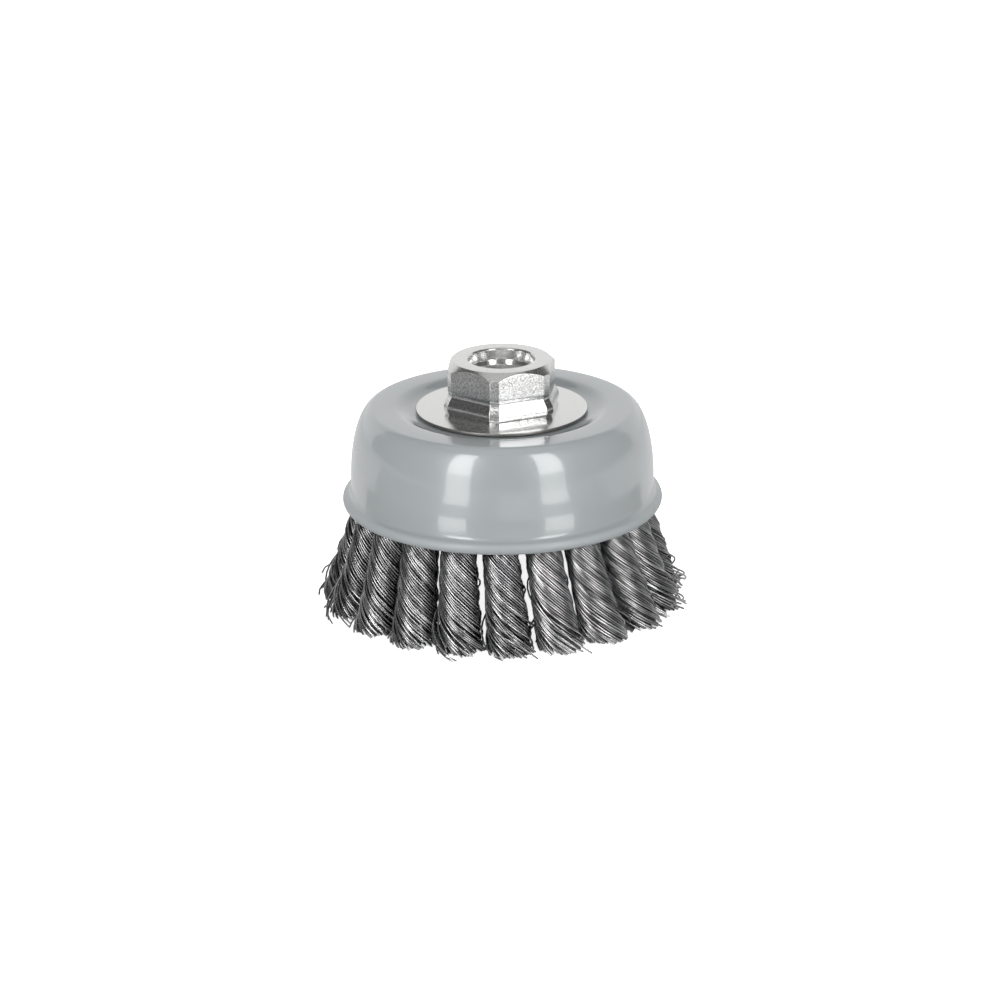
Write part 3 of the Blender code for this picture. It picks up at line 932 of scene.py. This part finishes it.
@dataclass
class WireKnots:
    """Twenty twisted knots. Each wire is a hairpin: both of its ends lie twisted in the knot.

    Each layer has a number of wires and their depth in the knot. Its depths, and the spans and reaches of
    strays, bows, wander and trims, are in millimetres.
    """

    count: int = 20
    first_angle: float = FIRST_KNOT_ANGLE
    wire_diameter: float = 0.5 * MM
    knot_diameter: float = 9.846 * MM
    tip_diameter: float = 12.437 * MM
    leg_diameter: float = 5.907 * MM
    leg_margin: float = 0.8 * MM
    flare_angle: float = radians(15.5)
    tip_lean: float = radians(3.8)
    strand_pitch: float = 37.0 * MM
    wire_pitch: float = 30.0 * MM
    splay_power: float = 1.2
    strands: int = 7
    strand_depth: float = 0.11
    knot_reach: float = 39.95 * MM
    layers: tuple[tuple[int, float], ...] = ((36, 0.28), (32, 0.82))
    fill_layers: tuple[tuple[int, float], ...] = (
        (28, 1.4), (24, 2.0), (20, 2.65), (15, 3.35), (10, 4.1), (5, 4.9), (2, 5.6))
    # The outer layer's tones differ at random; the inner layer's near-black tones are painted shade between
    # the wires.
    tones: tuple[Span, ...] = ((0.22, 1.0), (0.0, 0.12))
    # The fill wires' tones differ at random but stay dark, as painted shade inside the knot.
    fill_tones_and_shade: Span = (0.1, 0.5)
    rope_points: int = 31
    fill_points: int = 4
    loop_points: int = 7
    core_points: int = 14
    point_crowding: float = 1.1
    loop_squeeze: float = 0.95
    fill_height: float = 6.0 * MM
    core_height: float = 2.4 * MM
    core_inset: float = 1.15 * MM
    least_inset: float = 0.1 * MM
    fray_height: float = 14.0 * MM
    stray_height: float = 17.0 * MM
    stray_share: float = 0.07
    stray_reach: Span = (1.5, 5.0)
    fray_reach: float = 0.5
    fray_spread: float = 0.4
    stray_drift: float = 0.3
    fray_drift: float = 0.1
    frayed: tuple[int, ...] = (4, 5, 14, 15, 16)
    frayed_share: float = 0.36
    bow_share: float = 0.04
    bow_middle: Span = (6.0, 19.0)
    bow_width: Span = (2.5, 4.0)
    bow_reach: Span = (0.4, 1.2)
    wander_angle: float = 0.02
    wander_length: Span = (2.5, 5.0)
    wander_depth: float = 0.05
    depth_length: float = 4.0 * MM
    depth_phase: float = 6.0
    trim: Span = (0.03, 0.43)
    long_trim: Span = (0.83, 2.63)
    long_share: float = 0.07
    box_margin: float = -1.2 * MM
    smooth_angle: float = radians(65)
    seed: int = 11

    def __post_init__(self) -> None:
        """Read the heights and radii that the knots share with cup and plate."""
        _, self.rim_z, _ = box_size("cup_shell")
        plate_radius, plate_low, _ = box_size("knot_plate")
        self.flange_z = plate_low + KnotPlate.thickness
        hole = self.leg_diameter / 2 + SEAT_GAP
        inner_leg = plate_radius - KnotPlate.web - hole
        outer_leg = plate_radius + SEAT_GAP + self.leg_diameter / 2
        self.loop_radius = (outer_leg - inner_leg) / 2
        self.loop_centre = (outer_leg + inner_leg) / 2
        self.loop_z = self.flange_z + SEAT_GAP
        self.top_z = plate_low - SEAT_GAP - self.leg_diameter / 4
        self.spread_z = self.rim_z + 2 * CupShell.bead_radius
        self.stretch = 1 / cos(self.flare_angle)
        self.rim_axis = self.knot_reach - self.knot_diameter / 2 * self.stretch
        self.tip_axis = self.rim_axis + self.rim_z * tan(self.flare_angle)
        self.limit = min(-CAD_BOX[0].x, CAD_BOX[1].x) - self.box_margin
        self.random = np.random.default_rng(self.seed)
        self.loose_share = self.stray_share

    def axis(self, height: np.ndarray) -> tuple[np.ndarray, np.ndarray]:
        """Follow a knot's middle line.

        Args:
            height: Heights along it.

        Returns:
            Its radius and its turn about the spindle axis.
        """
        below = np.clip(1 - height / self.rim_z, 0.0, None)
        above = np.clip((height - self.rim_z) / (self.top_z - self.rim_z), 0.0, None)
        radius = self.rim_axis + (self.tip_axis - self.rim_axis) * below
        return radius + (self.loop_centre - self.rim_axis) * above, self.tip_lean * below

    def widths(self, height: np.ndarray) -> tuple[np.ndarray, np.ndarray]:
        """Half widths of a knot.

        Args:
            height: Heights along it.

        Returns:
            The half widths away from the spindle axis and round it.
        """
        splay = np.clip(1 - height / self.rim_z, 0.0, None) ** self.splay_power
        half = (self.knot_diameter + (self.tip_diameter - self.knot_diameter) * splay) / 2
        share = np.clip((height - self.spread_z) / (self.top_z - self.spread_z), 0.0, 1.0)
        spread = share * share * (3 - 2 * share)
        leg = self.leg_diameter / 2 + self.leg_margin
        outwards = half * self.stretch
        return outwards + (self.loop_radius + leg - outwards) * spread, half + (leg - half) * spread

    def cut_height(self) -> float:
        """Height of a wire's cut end: most are trimmed close to the plane of the tips."""
        span = self.long_trim if self.random.random() < self.long_share else self.trim
        return self.random.uniform(*span) * MM

    def loosen(self, height: np.ndarray, outer: bool) -> tuple[np.ndarray, np.ndarray]:
        """Let a wire stand away from its knot near the tips, and bow out now and then.

        Args:
            height: Heights along the wire.
            outer: Whether the wire lies on the outside of its knot.

        Returns:
            How far it stands out, and its drift round the knot.
        """
        rng = self.random
        stray = outer and rng.random() < self.loose_share
        reach = rng.uniform(*self.stray_reach) if stray else abs(
            rng.normal(self.fray_reach * outer, self.fray_spread))
        fray = np.clip(1 - height / (self.stray_height if stray else self.fray_height), 0.0, 1.0) ** 2
        out = reach * MM * fray
        if outer and rng.random() < self.bow_share:
            middle, width = rng.uniform(*self.bow_middle) * MM, rng.uniform(*self.bow_width) * MM
            out = out + rng.uniform(*self.bow_reach) * MM * np.exp(-((height - middle) / width) ** 2)
        return out, rng.normal(0.0, self.stray_drift if stray else self.fray_drift) * fray

    def strand(self, angle: float, inset: float, top: float, points: int) -> np.ndarray:
        """Run one wire end up the twisted part of a knot.

        Args:
            angle: Place round the knot where the wire reaches the legs.
            inset: Depth of the wire's middle below the knot's surface.
            top: Height where the path stops.
            points: Number of points.

        Returns:
            The points in the knot's own frame, from the trimmed end upwards.
        """
        rng = self.random
        end = self.cut_height()
        height = end + (top - end) * np.linspace(0.0, 1.0, points) ** self.point_crowding
        radius, turn = self.axis(height)
        outwards, sideways = self.widths(height)
        length = rng.uniform(*self.wander_length) * MM
        wander = self.wander_angle * np.sin(height / length + rng.uniform(0, tau))
        twist = angle - tau * (height - self.top_z) / self.wire_pitch + wander
        depth = inset + rng.normal(0.0, self.wander_depth) * MM
        phase = rng.uniform(0, self.depth_phase)
        depth = depth + self.wander_depth * MM * np.sin(height / self.depth_length + phase)
        lobe = tau / self.strands
        around = (twist + tau * height / self.strand_pitch - pi / 2) % lobe
        valley = 1 - self.strand_depth * np.minimum(around, lobe - around) / (lobe / 2)
        out, drift = self.loosen(height, inset < self.wire_diameter)
        push = out - np.maximum(depth, self.least_inset)
        twist = twist + drift
        away = radius + (outwards * valley + push) * np.cos(twist)
        round_it = (sideways * valley + push) * np.sin(twist)
        x = away * np.cos(turn) - round_it * np.sin(turn)
        y = away * np.sin(turn) + round_it * np.cos(turn)
        return np.stack([x, y, height], axis=1)

    def loop(self, angle: float, inset: float) -> np.ndarray:
        """Run one wire over the plate, from the outer leg round to the inner one.

        Args:
            angle: The wire's place round the knot.
            inset: Its depth below the knot's surface.

        Returns:
            The points, from leg to leg.
        """
        leg = self.leg_diameter / 2 - self.wire_diameter / 2
        share = 1 - inset / (self.leg_diameter / 2 + self.leg_margin)
        across = cos(angle) * share * 2 - 1
        reach = leg * max(min(across, self.loop_squeeze), -self.loop_squeeze)
        side = sin(angle) * share * sqrt(leg * leg - reach * reach)
        bend = np.linspace(0.0, pi, self.loop_points)
        low = self.flange_z - KnotPlate.thickness - SEAT_GAP
        radius = self.loop_radius + reach
        x = self.loop_centre + radius * np.concatenate([[1.0], np.cos(bend), [-1.0]])
        z = np.concatenate([[low], self.loop_z + radius * np.sin(bend), [low]])
        return np.stack([x, np.full_like(x, side), z], axis=1)

    def hairpins(self) -> list[tuple[np.ndarray, float]]:
        """Run every whole wire of one knot.

        Returns:
            Their paths and tones. The inner ones are darker, as painted shade between the wires.
        """
        wires = []
        for (number, inset), tones in zip(self.layers, self.tones):
            for index in range(number):
                angle = tau * (index + 0.5) / number
                if cos(angle) <= 0:
                    continue
                first = self.strand(angle, inset * MM, self.top_z, self.rope_points)
                second = self.strand(pi - angle, inset * MM, self.top_z, self.rope_points)
                path = np.concatenate([first, self.loop(angle, inset * MM), second[::-1]])
                wires.append((path, self.random.uniform(*tones)))
        return wires

    def fill(self) -> list[tuple[np.ndarray, float]]:
        """Run the wires inside a knot, which show only at its end.

        Returns:
            Their paths and tones, which are darker than the outer wires' as painted shade inside the knot.
        """
        wires = []
        for number, inset in self.fill_layers:
            for index in range(number):
                angle = tau * (index + self.random.random()) / number
                path = self.strand(angle, inset * MM, self.fill_height, self.fill_points)
                wires.append((path, self.random.uniform(*self.fill_tones_and_shade)))
        return wires

    def contain(self, path: np.ndarray) -> np.ndarray:
        """Keep a turned path close to the solid model's box and above the floor.

        Args:
            path: The points, which are changed.

        Returns:
            The same points.
        """
        reach = np.abs(path[:, :2]).max(axis=1)
        path[:, :2] *= np.minimum(1.0, self.limit / np.maximum(reach, self.wire_diameter))[:, None]
        path[:, 2] = np.maximum(path[:, 2], self.wire_diameter / 2)
        return path

    def bundle(self, name: str, angle: float) -> Object:
        """Make one knot as a mesh of round wires round a core that is painted dark as shade.

        Args:
            name: Name of the piece.
            angle: The knot's angle about the spindle axis.

        Returns:
            The knot's object, with number 1 on the wires' cut ends.
        """
        curve = bpy.data.curves.new(name, "CURVE")
        curve.dimensions = "3D"
        curve.bevel_depth = self.wire_diameter / 2
        curve.bevel_resolution = 1
        turn = np.array(Matrix.Rotation(angle, 3, "Z"))
        tones = []
        for path, tone in self.hairpins() + self.fill():
            self.add_spline(curve, self.contain(path @ turn.T))
            tones.append((len(path), tone))
        heights = np.linspace(self.core_height, self.top_z, self.core_points)
        radius, lean = self.axis(heights)
        core = np.stack([radius * np.cos(lean), radius * np.sin(lean), heights], axis=1)
        thickness = self.widths(heights)[1] - self.core_inset
        self.add_spline(curve, core @ turn.T, thickness / curve.bevel_depth)
        # The core's tone of 0 is painted shade, so the gaps between the wires show dark.
        tones.append((len(core), 0.0))
        draft = show(name, curve)
        mesh = bpy.data.meshes.new_from_object(draft.evaluated_get(bpy.context.evaluated_depsgraph_get()))
        bpy.data.objects.remove(draft, do_unlink=True)
        self.store_tones_and_shade(mesh, tones)
        bm = bmesh.new()
        bm.from_mesh(mesh)
        for cap in fill_ends(bm):
            cap.material_index = 1
        return finish_mesh(bm, name, self.smooth_angle)

    @staticmethod
    def add_spline(curve: Curve, path: np.ndarray, radii: np.ndarray | None = None) -> None:
        """Add one open run of points to a curve.

        Args:
            curve: The curve.
            path: The points.
            radii: Widths as multiples of the curve's bevel, or None for 1.
        """
        spline = curve.splines.new("POLY")
        spline.points.add(len(path) - 1)
        flat = np.ones((len(path), 4), np.float32)
        flat[:, :3] = path
        spline.points.foreach_set("co", flat.ravel())
        if radii is not None:
            spline.points.foreach_set("radius", radii.astype(np.float32))
        spline.use_smooth = True

    @staticmethod
    def store_tones_and_shade(mesh: Mesh, tones: list[tuple[int, float]]) -> None:
        """Store each wire's tone on its points; the inner wires' and the core's dark tones are painted shade.

        Args:
            mesh: A knot's mesh, whose wires come in order.
            tones: For each wire, the number of points on its path and its tone, which is painted shade on the
                inner wires and the core.
        """
        sides = len(mesh.vertices) // sum(points for points, _ in tones)
        values = np.concatenate([np.full(points * sides, tone, np.float32) for points, tone in tones])
        mesh.attributes.new(WIRE_TONE_AND_SHADE, "FLOAT", "POINT").data.foreach_set("value", values)

    def build(self, steel: Material, cut: Material) -> list[Object]:
        """Make every knot in its own place.

        Args:
            steel: Finish along the wires.
            cut: Finish of their cut ends.

        Returns:
            The twenty knots.
        """
        knots = []
        for index in range(self.count):
            self.loose_share = self.frayed_share if index in self.frayed else self.stray_share
            angle = self.first_angle + tau * index / self.count
            knot = self.bundle(f"wire_knot_{index + 1:02d}", angle)
            knots.append(dress(knot, Slot.WIRE, [steel, cut], f"knot_{index + 1:02d}"))
        return knots


# Studio


@dataclass
class Studio:
    """Camera, floor, soft lights and the cards that the gloss mirrors, laid out round the brush.

    Patches and sheets lie just above the floor, between two distances from the axis. Strips and sheets lie
    between two angles from the front, towards +X, and end with their brightness.
    """

    elevation: float = radians(19.94)
    distance: float = 936.0 * MM
    aim: tuple[float, float, float] = (-0.68 * MM, 0.0, 26.3 * MM)
    roll: float = radians(-0.5)
    lens: float = 126.0
    sensor: float = 36.0
    ambient: float = 0.62
    room: float = 0.1
    floor_radius: float = 6.0
    backdrop_level: float = 0.85
    backdrop_distance: float = 900.0 * MM
    backdrop_size: Span = (3000.0 * MM, 900.0 * MM)
    overhead_level: float = 0.5
    overhead_height: float = 1200.0 * MM
    overhead_radius: float = 600.0 * MM
    strip_distance: float = 750.0 * MM
    strip_foot: float = 1.0 * MM
    strip_top: float = radians(52.0)
    strips: tuple[tuple[str, Span, float], ...] = (
        ("left", (radians(-42.0), radians(-23.5)), 3.7),
        ("right", (radians(27.2), radians(47.0)), 2.7))
    top_rise: Span = (radians(14.5), radians(52.0))
    top_level: float = 6.2
    top_gap: float = 10.0 * MM
    patches: tuple[Span, ...] = ((100.0 * MM, 149.0 * MM), (246.0 * MM, 750.0 * MM))
    patch_level: float = 3.7
    patch_height: float = 0.2 * MM
    sheets: tuple[tuple[str, Span, Span, float], ...] = (
        ("pale_sheet", (radians(18.0), radians(78.0)), (150.0 * MM, 700.0 * MM), 0.35),
        ("dark_sheet", (radians(-100.0), radians(-3.0)), (150.0 * MM, 700.0 * MM), 0.31),
        ("near_sheet", (radians(-108.0), radians(112.0)), (56.0 * MM, 150.0 * MM), 0.2))
    sheet_height: float = 0.1 * MM
    card_steps: int = 16
    fills: tuple[tuple[str, float, float], ...] = (
        ("fill_left", -880.0 * MM, 0.75), ("fill_right", 880.0 * MM, 0.95))
    fill_place: Span = (-150.0 * MM, 420.0 * MM)
    fill_size: float = 600.0 * MM

    def camera(self) -> None:
        """Set the camera at the photograph's viewing angle."""
        data = bpy.data.cameras.new("photo_camera")
        data.lens = self.lens
        data.sensor_width = self.sensor
        data.clip_start, data.clip_end = 0.05, 50.0
        camera = show("photo_camera", data)
        back = Vector((0.0, -cos(self.elevation), sin(self.elevation)))
        turn = (-back).to_track_quat("-Z", "Y").to_matrix().to_4x4() @ Matrix.Rotation(self.roll, 4, "Z")
        camera.matrix_world = Matrix.Translation(Vector(self.aim) + back * self.distance) @ turn
        bpy.context.scene.camera = camera

    def world(self) -> None:
        """Light the scene softly all round, with a dark room in gloss and white behind it."""
        world = bpy.data.worlds.new("studio_world")
        world.use_nodes = True
        tree = world.node_tree
        gloss = add_node(tree, "LightPath").outputs["Is Glossy Ray"]
        room = add_node(tree, "MapRange",
                        {"Value": gloss, "To Min": self.ambient, "To Max": self.room}).outputs["Result"]
        level = add_node(tree, "MapRange",
                         {"Value": camera_sees(tree), "To Min": room, "To Max": 1.0})
        feed(tree, tree.nodes["Background"], {"Color": WHITE, "Strength": level.outputs["Result"]})
        bpy.context.scene.world = world

    def floor(self) -> None:
        """Lay the pale floor under the wire tips."""
        bm = bmesh.new()
        bmesh.ops.create_circle(bm, cap_ends=True, radius=self.floor_radius, segments=96)
        floor = finish_mesh(bm, "studio_floor")
        floor.data.materials.append(FloorFinish().build())

    @staticmethod
    def light(name: str, size: Span, level: float, place: Vector, outward: Vector) -> Object:
        """Stand a soft light that the camera doesn't see.

        Args:
            name: Name of the light.
            size: Its width and height.
            level: Its radiance.
            place: Its middle.
            outward: Direction from the brush to the light, which faces back along it.

        Returns:
            The light.
        """
        data = bpy.data.lights.new(name, "AREA")
        data.shape = "RECTANGLE"
        data.size, data.size_y = size
        data.energy = level * pi * size[0] * size[1]
        light = show(name, data)
        turn = outward.to_track_quat("Z", "Y").to_matrix().to_4x4()
        light.matrix_world = Matrix.Translation(place) @ turn
        light.visible_camera = False
        return light

    def strip(self, name: str, span: Span, level: float) -> None:
        """Stand a tall soft light in front of the brush.

        Args:
            name: Name of the light.
            span: First and last angle from the front, towards +X, as seen from the spindle axis.
            level: Its radiance.
        """
        middle, half = sum(span) / 2, (span[1] - span[0]) / 2
        height = self.strip_distance * tan(self.strip_top)
        outward = Vector((sin(middle), -cos(middle), 0.0))
        place = outward * self.strip_distance + Vector((0, 0, height / 2 + self.strip_foot))
        self.light(name, (2 * self.strip_distance * tan(half), height), level, place, outward)

    def card(self, name: str, span: Span, profile: Outline, material: Material) -> None:
        """Sweep a card round the spindle axis that shows only in gloss.

        Args:
            name: Name of the card.
            span: First and last angle from the front, towards +X.
            profile: Distance from the axis and height of its two edges.
            material: The card's glowing material.
        """
        bm = sweep(profile, span[1] - span[0], self.card_steps, start=span[0] - pi / 2, closed=False)
        self.show_in_gloss(bm, name, material)

    def backdrop(self) -> None:
        """Stand a pale card behind the brush."""
        width, height = self.backdrop_size
        place = Matrix.Translation((0, self.backdrop_distance, height / 2))
        stand = place @ Matrix.Rotation(pi / 2, 4, "X")
        bm = bmesh.new()
        bmesh.ops.create_grid(bm, x_segments=1, y_segments=1, size=1.0,
                              matrix=stand @ Matrix.Diagonal((width / 2, height / 2, 1, 1)))
        self.show_in_gloss(bm, "backdrop_card", self.glow("backdrop_glow", self.backdrop_level))

    def overhead(self) -> None:
        """Hang a pale round card above the brush."""
        bm = bmesh.new()
        bmesh.ops.create_circle(bm, cap_ends=True, radius=self.overhead_radius, segments=64,
                                matrix=Matrix.Translation((0, 0, self.overhead_height)))
        self.show_in_gloss(bm, "overhead_card", self.glow("overhead_glow", self.overhead_level))

    @staticmethod
    def show_in_gloss(bm: BMesh, name: str, material: Material) -> None:
        """Add a card that only glossy surfaces see.

        Args:
            bm: The card's bmesh.
            name: Its name.
            material: Its glowing material.
        """
        card = finish_mesh(bm, name)
        card.data.materials.append(material)
        for ray in ("camera", "diffuse", "shadow", "transmission", "volume_scatter"):
            setattr(card, f"visible_{ray}", False)

    @staticmethod
    def glow(name: str, level: float) -> Material:
        """Make the glowing material of a card.

        Args:
            name: Name of the material.
            level: Its brightness.

        Returns:
            The material.
        """
        card = Shading(name)
        card.set(Base_Color=(0.0, 0.0, 0.0, 1.0), Emission_Color=WHITE, Emission_Strength=level)
        return card.material

    def build(self) -> None:
        """Set up the whole studio."""
        self.camera()
        self.world()
        self.floor()
        self.backdrop()
        self.overhead()
        patch_glow = self.glow("card_glow", self.patch_level)
        top_glow = self.glow("top_glow", self.top_level)
        near = self.strip_distance - self.top_gap
        top = [(near, near * tan(rise)) for rise in self.top_rise]
        for side, span, level in self.strips:
            self.strip(f"strip_{side}", span, level)
            self.card(f"top_card_{side}", span, top, top_glow)
            for index, reach in enumerate(self.patches):
                profile = [(distance, self.patch_height) for distance in reach]
                self.card(f"floor_card_{side}_{index}", span, profile, patch_glow)
        for name, across, level in self.fills:
            place = Vector((across, *self.fill_place))
            light = self.light(name, (self.fill_size, self.fill_size), level, place, place)
            light.visible_glossy = False
        for name, span, reach, level in self.sheets:
            profile = [(distance, self.sheet_height) for distance in reach]
            self.card(name, span, profile, self.glow(f"{name}_glow", level))
        bpy.context.scene.view_settings.view_transform = "Standard"


def report(pieces: list[Object]) -> None:
    """Log each piece with its number of triangles.

    Args:
        pieces: The finished pieces.
    """
    for piece in pieces:
        triangles = sum(len(polygon.vertices) - 2 for polygon in piece.data.polygons)
        LOG.info("%s: %d triangles", piece.name, triangles)


def main() -> None:
    """Build the studio and every piece of the brush in order."""
    logging.basicConfig(level=logging.INFO, format="%(message)s")
    effects = Effects.build()
    Studio().build()
    paint = PaintFinish().build(effects)
    face = SteelFinish("turned_steel").build(effects)
    bore = SteelFinish("bored_steel", smooth=0.16, rough=0.24, ring_depth=0.004 * MM).build(effects)
    # Punched edge: rough bare steel, with its dark colour painted as a reflection of dark surroundings.
    sheared_and_shaded = SteelFinish("sheared_steel_and_shade", colour=(0.35, 0.34, 0.33), shade=(0.2, 0.19, 0.18),
                          smooth=0.35, rough=0.5).build(effects)
    report([CupShell().build(paint)])
    report([FlangeWasher().build(face, sheared_and_shaded)])
    report(ArborNut().build(ForgedAndGlintFinish().build(effects), face, bore))
    report([KnotPlate().build(PressedFinish().build(effects))])
    cut = SteelFinish("cut_wire", smooth=0.3, rough=0.45).build(effects)
    report(WireKnots().build(WireFinish().build(effects), cut))


if __name__ == "__main__":
    main()
